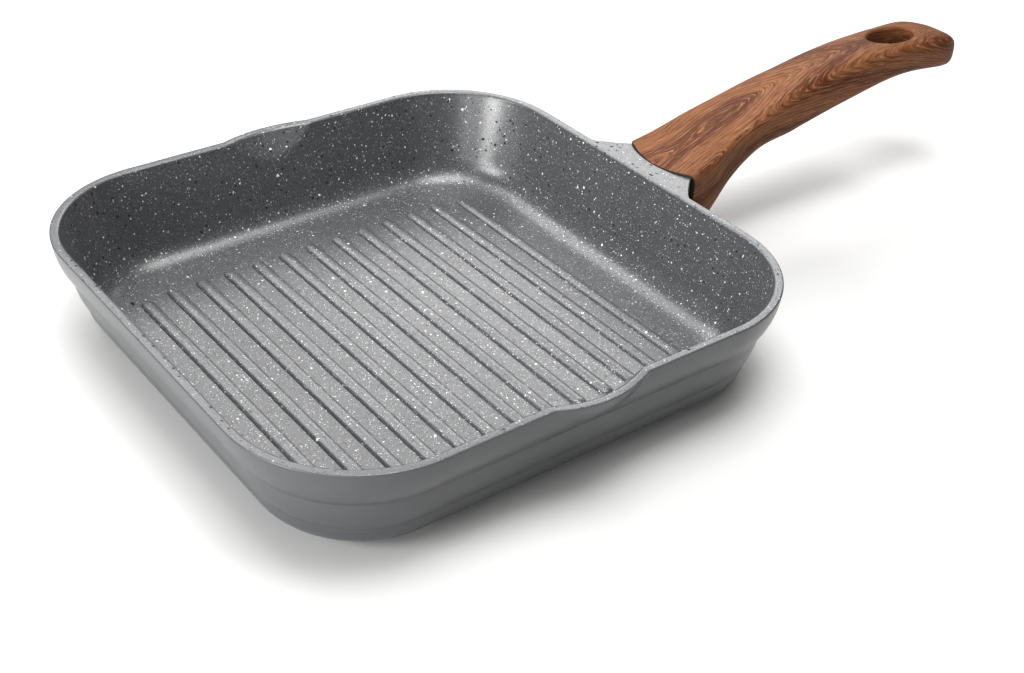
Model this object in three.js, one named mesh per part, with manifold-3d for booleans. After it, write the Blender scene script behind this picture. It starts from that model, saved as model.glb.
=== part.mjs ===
// Square cast grill pan: a ribbed body with two pouring spouts and a lug, an induction disc let into
// its base, and a moulded handle pushed over the lug's tongue and held by one screw from below.
// Millimetres, +Z up. The origin is the middle of the base on the resting plane, +X runs along the
// handle and the spouts lie on the two Y sides.

import * as THREE from 'three';
import { mergeVertices } from 'three/addons/utils/BufferGeometryUtils.js';
import Module from 'manifold-3d';

const wasm = await Module();
wasm.setup();

// Body outline, seen from above at the rim
const bodyWidth = 240;
const cornerRadius = 53;

// Body heights and rim
const bodyHeight = 45;
const floorThickness = 4.2;
const rimWidth = 3.6;
const rimBevel = 0.4;

// Outer wall: three swelling bands, each starting almost upright and curving in to the crease below it.
// Drops are measured down from the rim, insets inwards from the rim's outer edge.
const bandLean = 0.13;
const upperCreaseDrop = 17.6;
const upperCreaseInset = 6.2;
const lowerCreaseDrop = 31.7;
const lowerCreaseInset = 10.5;
const footInset = 17.2;
const footLift = 2.2;
const baseInset = 21.5;

// Inner wall: a straight lean from the rim, eased into the floor
const wallFootInset = 16.7;
const floorFillet = 6;

// Spouts: the rim swells out and dips, over a scoop that dies out on the wall
const spoutWidth = 48;
const spoutBulge = 4.8;
const spoutDip = 0.8;
const scoopDepth = 11.5;
const swellDepth = 15.5;
const spoutEase = 0.08;

// Ribs on the floor, parallel to Y, their middle a little away from the handle
const ribCount = 13;
const ribPitch = 13.5;
const ribShift = -1.9;
const ribLength = 163;
const outerRibLength = 157;
const ribWidth = 6.2;
const ribCrest = 1.6;
const ribHeight = 1.7;
const ribDraft = 0.5;
const ribRoot = 1.5;

// Lug cast on the +X side, level with the rim, and the tongue that enters the handle
const lugThickness = 11;
const lugFlareHalf = 38;
const lugFlareSlack = 0.3;
const lugNeckHalf = 20.2;
const lugBevel = 0.8;
const tongueWidth = 24;
const tongueThickness = 8.5;
const tongueDrop = 2;
const tongueReach = 31;
const tongueCorner = 2;

// Handle: its end is a convex arc towards the pan. Each station gives its place as a share of the length,
// its top and bottom above the rim as shares of the crown's rise, and its half-width as a share of the
// grip's width.
const jointReach = 7.5;
const jointRadius = 40;
const handleLength = 194.8;
const handleRise = 28;
const gripWidth = 28.4;
const handleStations = [
  { along: 0, top: 0.01, bottom: -1.179, half: 0.775 },
  { along: 0.09, top: 0.168, bottom: -0.939, half: 0.722 },
  { along: 0.17, top: 0.379, bottom: -0.461, half: 0.627 },
  { along: 0.25, top: 0.536, bottom: -0.157, half: 0.571 },
  { along: 0.39, top: 0.782, bottom: -0.061, half: 0.525 },
  { along: 0.57, top: 0.971, bottom: 0.143, half: 0.5 },
  { along: 0.77, top: 1, bottom: 0.354, half: 0.525 },
  { along: 0.88, top: 0.954, bottom: 0.3, half: 0.539 },
  { along: 1, top: 0.643, bottom: 0.171, half: 0.55 },
];
const rootSquareness = 9;
const gripSquareness = 3;
const rootSquareLength = 80;
const tailRoundLength = 23.5;
const tailEdgeLength = 9.5;
const tailClosure = 0.95;

// Hanging hole near the tail, an oval with flared mouths
const hangHoleFromTail = 46;
const hangHoleLength = 24.5;
const hangHoleWidth = 14.3;
const hangHoleFlare = 1.8;

// Screw joint under the handle's root
const screwAt = 15.5;
const screwDiameter = 5;
const screwLength = 16;
const screwHeadDiameter = 9;
const screwHeadHeight = 3.4;
const screwHeadFlat = 4.4;
const screwHeadEdge = 1.1;
const screwTipChamfer = 0.8;
const plainWasherDiameter = 10;
const plainWasherThickness = 1;
const springWasherDiameter = 8.8;
const springWasherThickness = 1.3;
const springWasherSplit = 0.8;
const screwShoulder = 6.5;

// Induction disc in the base, with rings of holes round a plain middle
const discDiameter = 156;
const discThickness = 0.8;
const discHoleDiameter = 6;
const discRingRadii = [22, 38, 54, 70];
const discHoleSpacing = 17;

// Clearances
const fitGap = 0.3;
const seatGap = 0.1;

// Facet counts
const cornerSteps = 8;
const bandSteps = 4;
const scoopSteps = 4;
const spoutSteps = 16;
const ribEndSteps = 6;
const handleSteps = 16;
const tailSteps = 6;
const sectionSteps = 28;
const roundSteps = 24;
const bevelSteps = 2;
const discSteps = 64;
const discHoleSteps = 8;

// Places worked out from the sizes above
const halfWidth = bodyWidth / 2;
const jointX = halfWidth + jointReach;
const jointCentreX = jointX + jointRadius;
const tongueTop = bodyHeight - tongueDrop;
const tongueBottom = tongueTop - tongueThickness;
const hangHoleAt = handleLength - hangHoleFromTail;
const screwX = jointX + screwAt;
const shoulderZ = tongueBottom - fitGap - screwShoulder;
const plainWasherZ = shoulderZ - seatGap - plainWasherThickness;
const springWasherZ = plainWasherZ - seatGap - springWasherThickness;
const screwHeadZ = springWasherZ - seatGap;

// Closed mesh to a solid that can be joined and cut
function solidOf(geometry) {
  const bare = geometry.clone();
  bare.deleteAttribute('normal');
  bare.deleteAttribute('uv');
  const merged = mergeVertices(bare);
  const mesh = new wasm.Mesh({
    numProp: 3,
    vertProperties: Float32Array.from(merged.attributes.position.array),
    triVerts: Uint32Array.from(merged.index.array),
  });
  return new wasm.Manifold(mesh);
}

function geometryOf(solid) {
  const mesh = solid.getMesh();
  const geometry = new THREE.BufferGeometry();
  geometry.setAttribute('position', new THREE.BufferAttribute(mesh.vertProperties, 3));
  geometry.setIndex(new THREE.BufferAttribute(mesh.triVerts, 1));
  geometry.computeVertexNormals();
  return geometry;
}

// Skin over rings of equal count, each anticlockwise seen against the way they advance, with a fan
// over the first and the last
function loft(rings) {
  const count = rings[0].length;
  const middle = (ring) => ring.reduce((sum, p) => sum.add(p), new THREE.Vector3()).divideScalar(count);
  const points = [...rings.flat(), middle(rings[0]), middle(rings.at(-1))];
  const firstMiddle = rings.length * count;
  const lastRow = firstMiddle - count;
  const index = [];
  for (let j = 0; j < count; j += 1) {
    const next = (j + 1) % count;
    for (let row = 0; row < lastRow; row += count) {
      index.push(row + j, row + next, row + count + next);
      index.push(row + j, row + count + next, row + count + j);
    }
    index.push(firstMiddle, next, j);
    index.push(firstMiddle + 1, lastRow + j, lastRow + next);
  }
  const geometry = new THREE.BufferGeometry().setFromPoints(points);
  geometry.setIndex(index);
  return geometry;
}

// Points of a level arc, anticlockwise from above
function levelArc(centreX, centreY, radius, startTurn, sweepTurn, steps, z) {
  return Array.from({ length: steps + 1 }, (_, k) => {
    const angle = (startTurn + (sweepTurn * k) / steps) * 2 * Math.PI;
    return new THREE.Vector3(centreX + radius * Math.cos(angle), centreY + radius * Math.sin(angle), z);
  });
}

// Points of a level circle, without the repeated last one
function levelCircle(centreX, centreY, radius, steps, z) {
  return levelArc(centreX, centreY, radius, 0, 1 - 1 / steps, steps - 1, z);
}

// Flat piece from lists of points for its outline and its holes, standing on a height
function flatPiece(outline, holes, bottom, thickness) {
  const shape = new THREE.Shape().setFromPoints(outline);
  shape.holes = holes.map((points) => new THREE.Path().setFromPoints(points));
  return new THREE.ExtrudeGeometry(shape, { depth: thickness, bevelEnabled: false }).translate(0, 0, bottom);
}

// Upright round bar on the X axis, between two heights
function roundBar(x, radius, bottom, top, steps) {
  return solidOf(flatPiece(levelCircle(x, 0, radius, steps, 0), [], bottom, top - bottom));
}

// Positive part of a value, with its corner eased over the given width
function easedPositive(value, width) {
  if (value <= -width) return 0;
  if (value >= width) return value;
  return (value + width) ** 2 / (4 * width);
}

// Share of the spout's swell at a place along the side and a drop below the rim
function spoutShare(x, drop, depth) {
  const across = (2 * x) / spoutWidth;
  return easedPositive(1 - across ** 2 - Math.max(drop, 0) / depth, spoutEase);
}

// Outline of the pan at an inset and a height: four corner arcs, with a spout on each Y side
function panOutline(inset, z, depth) {
  const centre = halfWidth - cornerRadius;
  const radius = cornerRadius - inset;
  const corner = (sx, sy, turn) => levelArc(sx * centre, sy * centre, radius, turn, 0.25, cornerSteps, z);
  const spoutReach = (spoutWidth / 2) * Math.sqrt(1 + spoutEase);
  const spout = (side) => Array.from({ length: spoutSteps + 1 }, (_, k) => {
    const x = side * spoutReach * (1 - (2 * k) / spoutSteps);
    const share = spoutShare(x, bodyHeight - z, depth);
    return new THREE.Vector3(x, side * (centre + radius + spoutBulge * share), z - spoutDip * share);
  });
  return [
    ...corner(1, 1, 0),
    ...spout(1),
    ...corner(-1, 1, 0.25),
    ...corner(-1, -1, 0.5),
    ...spout(-1),
    ...corner(1, -1, 0.75),
  ];
}

// Outer wall from the edge of the base to the rim, as insets and heights
function outerProfile() {
  const path = new THREE.Path();
  path.moveTo(baseInset, 0);
  path.quadraticCurveTo(footInset + footLift, 0, footInset, footLift);
  const bandTops = [
    [lowerCreaseInset, bodyHeight - lowerCreaseDrop],
    [upperCreaseInset, bodyHeight - upperCreaseDrop],
    [0, bodyHeight - rimBevel],
  ];
  let below = footLift;
  for (const [inset, top] of bandTops) {
    const lean = (bandLean * (top - below)) / 2;
    path.quadraticCurveTo(inset + lean, (top + below) / 2, inset, top);
    below = top;
  }
  path.lineTo(rimBevel, bodyHeight);
  return path.getPoints(bandSteps);
}

// Inset of the straight inner wall at a height
function innerWallInset(z) {
  const down = (bodyHeight - z) / (bodyHeight - floorThickness);
  return rimWidth + (wallFootInset - rimWidth) * down;
}

// Inner wall from the rim to the edge of the flat floor, as insets and heights
function innerProfile() {
  const path = new THREE.Path();
  path.moveTo(rimWidth - rimBevel, bodyHeight);
  for (let k = 0; k <= scoopSteps; k += 1) {
    const z = bodyHeight - rimBevel - (scoopDepth * k) / scoopSteps;
    path.lineTo(innerWallInset(z), z);
  }
  const filletTop = floorThickness + floorFillet;
  path.lineTo(innerWallInset(filletTop), filletTop);
  path.quadraticCurveTo(wallFootInset, floorThickness, wallFootInset + floorFillet, floorThickness);
  return path.getPoints(bandSteps);
}

// One rib: a long oval with a rounded crest, rooted a little way into the floor
function rib(x, length) {
  const path = new THREE.Path();
  path.moveTo(ribWidth / 2, floorThickness - ribRoot);
  path.lineTo(ribWidth / 2, floorThickness);
  const crestZ = floorThickness + ribHeight;
  path.quadraticCurveTo(ribWidth / 2 - ribDraft, crestZ, ribCrest / 2, crestZ);
  const endCentre = (length - ribWidth) / 2;
  const ring = ({ x: radius, y: z }) => [
    ...levelArc(x, endCentre, radius, 0, 0.5, ribEndSteps, z),
    ...levelArc(x, -endCentre, radius, 0.5, 0.5, ribEndSteps, z),
  ];
  return loft(path.getPoints(bandSteps).map(ring));
}

// Lug: flares from the rim to the handle's width and ends in a hollow arc round the handle's end.
// The core keeps it out of the pan: it fills the body up to the middle of the wall.
function lug() {
  const endRadius = jointRadius + fitGap;
  const neckAngle = Math.asin(lugNeckHalf / endRadius);
  const neckX = jointCentreX - endRadius * Math.cos(neckAngle);
  const rootX = halfWidth - cornerRadius;
  const flareX = halfWidth - rimBevel;
  const shape = new THREE.Shape();
  shape.moveTo(rootX, -lugFlareHalf);
  shape.lineTo(flareX, -lugFlareHalf);
  shape.quadraticCurveTo(halfWidth + lugFlareSlack, -(lugFlareHalf + lugNeckHalf) / 2, neckX, -lugNeckHalf);
  shape.absarc(jointCentreX, 0, endRadius, Math.PI + neckAngle, Math.PI - neckAngle, true);
  shape.quadraticCurveTo(halfWidth + lugFlareSlack, (lugFlareHalf + lugNeckHalf) / 2, flareX, lugFlareHalf);
  shape.lineTo(rootX, lugFlareHalf);
  const plate = new THREE.ExtrudeGeometry(shape, {
    depth: lugThickness - 2 * lugBevel,
    bevelThickness: lugBevel,
    bevelSize: lugBevel,
    bevelOffset: -lugBevel,
    bevelSegments: bevelSteps,
    curveSegments: cornerSteps,
  });
  plate.translate(0, 0, bodyHeight - lugThickness + lugBevel);
  const coreInset = rimWidth / 2;
  const coreLean = innerWallInset(bodyHeight - lugThickness) - rimWidth;
  const core = loft([
    panOutline(coreInset + coreLean, bodyHeight - lugThickness - fitGap, scoopDepth),
    panOutline(coreInset, bodyHeight + fitGap, scoopDepth),
  ]);
  return solidOf(plate).subtract(solidOf(core));
}

// Bar with round corners along X, from the lug into the handle. Grown, it is the handle's socket.
function tongueBar(startX, endX, grow) {
  const halfY = tongueWidth / 2 + grow;
  const halfZ = tongueThickness / 2 + grow;
  const radius = tongueCorner + grow;
  const shape = new THREE.Shape();
  shape.absarc(halfY - radius, halfZ - radius, radius, 0, Math.PI / 2);
  shape.absarc(radius - halfY, halfZ - radius, radius, Math.PI / 2, Math.PI);
  shape.absarc(radius - halfY, radius - halfZ, radius, Math.PI, 1.5 * Math.PI);
  shape.absarc(halfY - radius, radius - halfZ, radius, 1.5 * Math.PI, 2 * Math.PI);
  const options = { depth: endX - startX, bevelEnabled: false, curveSegments: cornerSteps / 2 };
  const bar = new THREE.ExtrudeGeometry(shape, options);
  bar.rotateX(Math.PI / 2).rotateZ(Math.PI / 2);
  return solidOf(bar.translate(startX, 0, (tongueTop + tongueBottom) / 2));
}

function panBody() {
  const outer = outerProfile().map(({ x, y }) => panOutline(x, y, swellDepth));
  const inner = innerProfile().map(({ x, y }) => panOutline(x, y, scoopDepth));
  let body = solidOf(loft([...outer, ...inner]));
  for (let k = 0; k < ribCount; k += 1) {
    const x = ribShift + (k - (ribCount - 1) / 2) * ribPitch;
    const atSide = k === 0 || k === ribCount - 1;
    body = body.add(solidOf(rib(x, atSide ? outerRibLength : ribLength)));
  }
  const tongueRootX = halfWidth + (jointReach - fitGap) / 2;
  body = body.add(lug());
  body = body.add(tongueBar(tongueRootX, jointX + tongueReach, 0));
  const boreRadius = screwDiameter / 2 + fitGap;
  const screwHole = roundBar(screwX, boreRadius, tongueBottom - fitGap, tongueTop + fitGap, roundSteps);
  const discSeat = roundBar(0, discDiameter / 2 + fitGap, -discThickness, discThickness + seatGap, discSteps);
  return geometryOf(body.subtract(screwHole).subtract(discSeat));
}

// Steel disc: rings of round holes, as many on each ring as the spacing allows
function inductionDisc() {
  const outline = levelCircle(0, 0, discDiameter / 2, discSteps, 0);
  const holes = discRingRadii.flatMap((radius) => {
    const count = Math.round((2 * Math.PI * radius) / discHoleSpacing);
    const centres = levelCircle(0, 0, radius, count, 0);
    return centres.map(({ x, y }) => levelCircle(x, y, discHoleDiameter / 2, discHoleSteps, 0));
  });
  return flatPiece(outline, holes, 0, discThickness);
}

// Round-off of the tail: 1 up to the start, then an ellipse's quarter down to the tip
function tailShare(at, length) {
  const along = (at - (handleLength - length)) / length;
  return Math.sqrt(1 - Math.max(along, 0) ** 2);
}

// Cross-section of the handle at a place along it: an oval of set squareness between top and bottom
function handleSection(at) {
  const blend = Math.min(at / rootSquareLength, 1);
  const squareness = rootSquareness + (gripSquareness - rootSquareness) * blend;
  const top = handleValue('top', at);
  const bottom = handleValue('bottom', at);
  const middle = (top + bottom) / 2;
  const halfHeight = ((top - bottom) / 2) * tailShare(at, tailEdgeLength);
  const halfAcross = handleValue('half', at) * tailShare(at, tailRoundLength);
  const bend = (value) => Math.sign(value) * Math.abs(value) ** (2 / squareness);
  return Array.from({ length: sectionSteps }, (_, k) => {
    const angle = (2 * Math.PI * (k + 0.5)) / sectionSteps;
    const y = halfAcross * bend(Math.cos(angle));
    const z = bodyHeight + middle + halfHeight * bend(Math.sin(angle));
    return new THREE.Vector3(jointX + at, y, z);
  });
}

// Places of the handle's cross-sections: even along the grip, closing up round the tail
function sectionPlaces() {
  const tailStart = handleLength - tailRoundLength;
  const grip = Array.from({ length: handleSteps }, (_, k) => (tailStart * k) / handleSteps);
  const tail = Array.from({ length: tailSteps + 1 }, (_, k) => {
    const turn = (Math.PI / 2) * tailClosure * (k / tailSteps);
    return tailStart + tailRoundLength * Math.sin(turn);
  });
  return [...grip, ...tail];
}

// Smooth value along the handle: a cubic between two stations. Its slope at a station is the mean of the
// slopes before and after, the nearer station counting for more.
function handleValue(key, at) {
  const unit = key === 'half' ? gripWidth : handleRise;
  const last = handleStations.length - 1;
  const place = (k) => handleStations[k].along * handleLength;
  const value = (k) => handleStations[k][key] * unit;
  const rise = (k) => (value(k + 1) - value(k)) / (place(k + 1) - place(k));
  const slope = (k) => {
    if (k === 0) return rise(0);
    if (k === last) return rise(last - 1);
    const before = place(k) - place(k - 1);
    const after = place(k + 1) - place(k);
    return (rise(k - 1) * after + rise(k) * before) / (before + after);
  };
  const next = Math.max(handleStations.findIndex((station) => station.along * handleLength >= at), 1);
  const gap = place(next) - place(next - 1);
  const curve = new THREE.CubicBezierCurve(
    new THREE.Vector2(0, value(next - 1)),
    new THREE.Vector2(0, value(next - 1) + (slope(next - 1) * gap) / 3),
    new THREE.Vector2(0, value(next) - (slope(next) * gap) / 3),
    new THREE.Vector2(0, value(next)),
  );
  return curve.getPoint((at - place(next - 1)) / gap).y;
}

// Handle before its cuts: the loft of its cross-sections, ended by the joint's half round
function handleStock() {
  const rings = sectionPlaces().map((at) => handleSection(at));
  const farX = jointX + handleLength;
  const plan = [
    ...levelArc(jointCentreX, 0, jointRadius, 0.25, 0.5, 2 * roundSteps, 0),
    new THREE.Vector3(farX, -jointRadius, 0),
    new THREE.Vector3(farX, jointRadius, 0),
  ];
  return solidOf(loft(rings)).intersect(solidOf(flatPiece(plan, [], 0, 2 * bodyHeight)));
}

// Oval through-hole, flared where it meets the handle's top and underside
function hangHole() {
  const top = bodyHeight + handleValue('top', hangHoleAt);
  const bottom = bodyHeight + handleValue('bottom', hangHoleAt);
  const levels = [
    [hangHoleFlare, bottom - hangHoleFlare],
    [0, bottom + hangHoleFlare],
    [0, top - hangHoleFlare],
    [hangHoleFlare, top + hangHoleFlare],
  ];
  const ring = ([grow, z]) => levelCircle(0, 0, 1, roundSteps, 0).map((p) => {
    const x = jointX + hangHoleAt + p.x * (hangHoleLength / 2 + grow);
    return new THREE.Vector3(x, p.y * (hangHoleWidth / 2 + grow), z);
  });
  return solidOf(loft(levels.map(ring)));
}

function handle() {
  const socket = tongueBar(halfWidth, jointX + tongueReach + fitGap, fitGap);
  const boreRadius = screwDiameter / 2 + fitGap;
  const bore = roundBar(screwX, boreRadius, shoulderZ - fitGap, tongueBottom + fitGap, roundSteps);
  const headWell = roundBar(screwX, plainWasherDiameter / 2 + fitGap, 0, shoulderZ, roundSteps);
  let stock = handleStock();
  for (const cut of [socket, bore, headWell, hangHole()]) {
    stock = stock.subtract(cut);
  }
  return geometryOf(stock);
}

// Pan-head screw, head down
function handleScrew() {
  const headRadius = screwHeadDiameter / 2;
  const shankRadius = screwDiameter / 2;
  const profile = new THREE.Path();
  profile.moveTo(0, -screwHeadHeight);
  profile.lineTo(screwHeadFlat / 2, -screwHeadHeight);
  profile.quadraticCurveTo(headRadius, -screwHeadHeight, headRadius, -screwHeadEdge);
  profile.lineTo(headRadius, 0);
  profile.lineTo(shankRadius, 0);
  profile.lineTo(shankRadius, screwLength - screwTipChamfer);
  profile.lineTo(shankRadius - screwTipChamfer, screwLength);
  profile.lineTo(0, screwLength);
  const screw = new THREE.LatheGeometry(profile.getPoints(bandSteps), roundSteps);
  return screw.rotateX(Math.PI / 2).translate(screwX, 0, screwHeadZ);
}

function plainWasher() {
  const outline = levelCircle(screwX, 0, plainWasherDiameter / 2, roundSteps, 0);
  const bore = levelCircle(screwX, 0, screwDiameter / 2 + fitGap, roundSteps, 0);
  return flatPiece(outline, [bore], plainWasherZ, plainWasherThickness);
}

// Split ring
function springWasher() {
  const outer = springWasherDiameter / 2;
  const inner = screwDiameter / 2 + fitGap;
  const edge = (radius) => {
    const split = springWasherSplit / (2 * Math.PI * radius);
    return levelArc(screwX, 0, radius, split / 2, 1 - split, roundSteps, 0);
  };
  const outline = [...edge(outer), ...edge(inner).reverse()];
  return flatPiece(outline, [], springWasherZ, springWasherThickness);
}

const finishes = {
  coating: { color: 0x8c8c8c, roughness: 0.5, metalness: 0.1 },
  woodEffect: { color: 0x8a5a3c, roughness: 0.55, metalness: 0 },
  steel: { color: 0xb4b4b6, roughness: 0.35, metalness: 1 },
};

const pieces = [
  ['pan_body', panBody, finishes.coating],
  ['induction_disc', inductionDisc, finishes.steel],
  ['handle', handle, finishes.woodEffect],
  ['handle_screw', handleScrew, finishes.steel],
  ['plain_washer', plainWasher, finishes.steel],
  ['spring_washer', springWasher, finishes.steel],
];

const grillPan = new THREE.Group();
for (const [name, build, finish] of pieces) {
  const mesh = new THREE.Mesh(build(), new THREE.MeshStandardMaterial(finish));
  mesh.name = name;
  grillPan.add(mesh);
}

export default grillPan;
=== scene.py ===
"""Square grill pan: fine surfaces, finishes and a small studio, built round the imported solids."""

import functools
import math

import bpy
import numpy as np
from mathutils import Matrix, Vector


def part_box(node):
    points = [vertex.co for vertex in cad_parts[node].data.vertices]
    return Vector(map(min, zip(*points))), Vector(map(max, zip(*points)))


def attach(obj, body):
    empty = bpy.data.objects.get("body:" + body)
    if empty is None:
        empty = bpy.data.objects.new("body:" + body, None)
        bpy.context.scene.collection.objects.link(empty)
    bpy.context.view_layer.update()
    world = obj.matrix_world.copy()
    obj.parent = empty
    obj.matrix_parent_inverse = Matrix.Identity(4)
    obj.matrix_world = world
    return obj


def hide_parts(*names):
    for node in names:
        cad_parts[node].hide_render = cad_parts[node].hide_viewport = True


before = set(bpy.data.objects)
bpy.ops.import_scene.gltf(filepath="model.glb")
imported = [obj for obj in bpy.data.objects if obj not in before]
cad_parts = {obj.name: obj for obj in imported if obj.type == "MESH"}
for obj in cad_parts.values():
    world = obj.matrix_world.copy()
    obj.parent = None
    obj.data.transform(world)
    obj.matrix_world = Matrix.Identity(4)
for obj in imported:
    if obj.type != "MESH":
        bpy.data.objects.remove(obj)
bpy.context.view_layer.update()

bl_info = {
    "name": "Square grill pan",
    "version": (1, 0, 0),
    "blender": (4, 5, 0),
    "location": "View3D > Sidebar > Grill pan",
    "description": "Builds a square grill pan's surfaces, finishes and studio round its solids",
    "category": "Add Mesh",
}

MM = 0.001
QUARTER_TURN, FULL_TURN = np.pi / 2, 2 * np.pi
BODY = "root"

# Places that the solids already fix, in metres
body_low, body_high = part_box("pan_body")
handle_low, handle_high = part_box("handle")
screw_low, screw_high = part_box("handle_screw")
plain_low, plain_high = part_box("plain_washer")
spring_low, spring_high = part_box("spring_washer")
disc_low, disc_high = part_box("induction_disc")

# Sockets of the Mix node in its colour form
MIX_FACTOR, MIX_A, MIX_B, MIX_RESULT = 0, 6, 7, 2

# Clearance of a piece in its seat, at the sides and at the end
SIDE_GAP, END_GAP = 0.3 * MM, 0.1 * MM

# Rings of a mouth in the handle: over the face, and round the lip
FACE_RINGS, LIP_RINGS = 7, 9


def linear(hex_colour):
    """Linear red, green and blue of an sRGB hex colour."""
    shares = [int(hex_colour[k:k + 2], 16) / 255 for k in (1, 3, 5)]
    return tuple(s / 12.92 if s <= 0.04045 else ((s + 0.055) / 1.055) ** 2.4 for s in shares)


def length(name, default, description):
    """A size that the sidebar shows in the scene's units."""
    return bpy.props.FloatProperty(
        name=name, description=description, default=default, unit="LENGTH", precision=4)


def angle(name, degrees, description):
    """An angle, given in degrees."""
    return bpy.props.FloatProperty(
        name=name, description=description, default=math.radians(degrees), subtype="ANGLE")


def colour(name, hex_colour, description):
    """A colour that the sidebar shows as a swatch."""
    return bpy.props.FloatVectorProperty(
        name=name, description=description, default=linear(hex_colour), size=3, min=0.0, max=1.0,
        subtype="COLOR")


class GrillPanBody(bpy.types.PropertyGroup):
    """Sizes of the cast body."""

    half: length("Half width", -body_low.x, "From the middle to the rim's outer edge")
    height: length("Height", body_high.z, "From the resting plane to the rim")
    corner: length("Corner radius", 0.053, "Round of the rim's corners, outside")
    floor: length("Floor", 0.0042, "Thickness of the floor")
    rim: length("Rim", 0.0036, "Width of the flat rim")
    upper_drop: length("Upper crease drop", 0.0176, "From the rim down to the upper crease")
    upper_inset: length("Upper crease inset", 0.0062, "From the rim's edge in to the upper crease")
    lower_drop: length("Lower crease drop", 0.0317, "From the rim down to the lower crease")
    lower_inset: length("Lower crease inset", 0.0105, "From the rim's edge in to the lower crease")
    foot_inset: length("Foot inset", 0.0172, "From the rim's edge in to the foot of the wall")
    foot_lift: length("Foot lift", 0.0022, "Height where the wall turns under")
    base_inset: length("Base inset", 0.0215, "From the rim's edge in to the flat base")
    wall_foot: length("Inner wall foot", 0.0167, "Inset where the inner wall would meet the floor")
    fillet: length("Floor fillet", 0.0115, "Reach of the ease between inner wall and floor")
    spout_width: length("Spout width", 0.0425, "Width of a pouring spout along the rim")
    spout_bulge: length("Spout bulge", 0.0048, "How far a spout swells out")
    spout_dip: length("Spout dip", 0.0008, "How far a spout dips")
    rib_count: bpy.props.IntProperty(name="Ribs", description="Ribs on the floor", default=13, min=1)
    rib_pitch: length("Rib pitch", 0.0135, "From rib to rib")
    rib_shift: length("Rib shift", -0.0019, "How far the middle rib stands towards the handle")
    rib_length: length("Rib length", 0.163, "Length of the ribs")
    side_rib_length: length("Side rib length", 0.157, "Length of the first and last rib")
    rib_width: length("Rib width", 0.0062, "Width of a rib at the floor")
    rib_height: length("Rib height", 0.00155, "Height of a rib above the floor")
    lug_depth: length("Lug depth", 0.011, "Thickness of the lug that carries the handle")
    lug_neck: length("Lug neck", 0.0198, "Half width of the lug at the handle")
    lug_flare: length("Lug flare", 0.033, "Half width of the lug where it leaves the rim")
    tongue_width: length("Tongue width", 0.024, "Width of the tongue inside the handle")
    tongue_top: length("Tongue drop", 0.002, "From the rim down to the tongue")
    tongue_depth: length("Tongue thickness", 0.0085, "Thickness of the tongue")


class GrillPanHandle(bpy.types.PropertyGroup):
    """Sizes of the moulded handle."""

    start: length("Start", handle_low.x, "Place of the handle's end nearest the pan")
    length: length("Length", handle_high.x - handle_low.x, "Length of the handle")
    rise: length("Rise", 0.028, "Height of the handle's crown above the rim")
    grip: length("Grip", 0.0284, "Width of the grip where it is slimmest")
    joint_radius: length("Joint radius", 0.040, "Round of the end that meets the lug")
    joint_gap: length("Joint gap", 0.0002, "Gap between the lug and the handle")
    tail_round: length("Tail round", 0.0235, "Length of the tail that is rounded in plan")
    tail_edge: length("Tail edge", 0.0095, "Length of the tail that is rounded in height")
    hole_from_tail: length("Hole from tail", 0.0445, "From the tail to the hanging hole's middle")
    hole_length: length("Hole length", 0.0290, "Length of the hanging hole")
    hole_width: length("Hole width", 0.0162, "Width of the hanging hole")
    hole_flare: length("Hole flare", 0.0016, "Round of the hanging hole's mouths")


class GrillPanFinishes(bpy.types.PropertyGroup):
    """Colours of the finishes."""

    coat: colour("Coating", "#464749", "Grey of the speckled coating")
    coat_dark: colour("Coating shade", "#3e3f41", "Darker clouds in the coating")
    white_fleck: colour("White flecks", "#d9d9d5", "Pale mineral flecks")
    black_fleck: colour("Black flecks", "#0c0c0d", "Dark mineral flecks")
    outside: colour("Outside", "#4a4b4d", "Satin grey of the outer wall")
    wood_light: colour("Early wood", "#865838", "Light bands of the printed grain")
    wood_dark: colour("Late wood", "#4a2613", "Dark bands of the printed grain")
    # Painted glints: pale streaks that stand for light caught by the grain's emboss
    painted_wood_glint: colour("Wood glints", "#a2724f", "Pale fibres of the printed grain")
    wood_pore: colour("Pores", "#2a160c", "Short dark pores of the printed grain")
    phenolic: colour("Phenolic", "#17120f", "Bare plastic under the print")
    steel: colour("Steel", "#b9b9b7", "Induction disc")
    zinc: colour("Zinc", "#c3c7cb", "Screw and washers")
    aluminium: colour("Aluminium", "#cfd0d1", "Bare studs of the casting")


class GrillPanStage(bpy.types.PropertyGroup):
    """Camera, lights and floor."""

    camera_place: bpy.props.FloatVectorProperty(
        name="Camera place", description="Where the camera stands",
        default=(-0.290805, -0.435219, 0.355243), size=3, unit="LENGTH", precision=4)
    camera_azimuth: angle("Camera azimuth", -38.2777, "Turn of the camera round the pan")
    camera_elevation: angle("Camera elevation", 34.0719, "Height angle of the camera")
    camera_roll: angle("Camera roll", 2.5865, "Lean of the camera")
    camera_lens: bpy.props.FloatProperty(
        name="Lens", description="Focal length on a 36 mm wide frame", default=53.174, unit="CAMERA")
    floor_size: length("Floor", 12.0, "Side of the square floor")
    paper: colour("Paper", "#d2d2d1", "Colour of the floor")


# Meshes from arrays


def full_turn(count):
    """Even angles once round."""
    return np.linspace(0, FULL_TURN, count, endpoint=False)


def steps_to(start, end, count):
    """Even places after a start, the last of them at the end."""
    return np.linspace(start, end, count + 1)[1:]


def triples(x, y, z):
    """Three arrays that fit together as one: points, or triangles of point numbers."""
    return np.stack(np.broadcast_arrays(x, y, z), axis=-1)


def numbers(grid, first=0):
    """Point numbers of a grid of points, counted from the first."""
    return first + np.arange(grid[..., 0].size).reshape(grid.shape[:-1])


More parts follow.
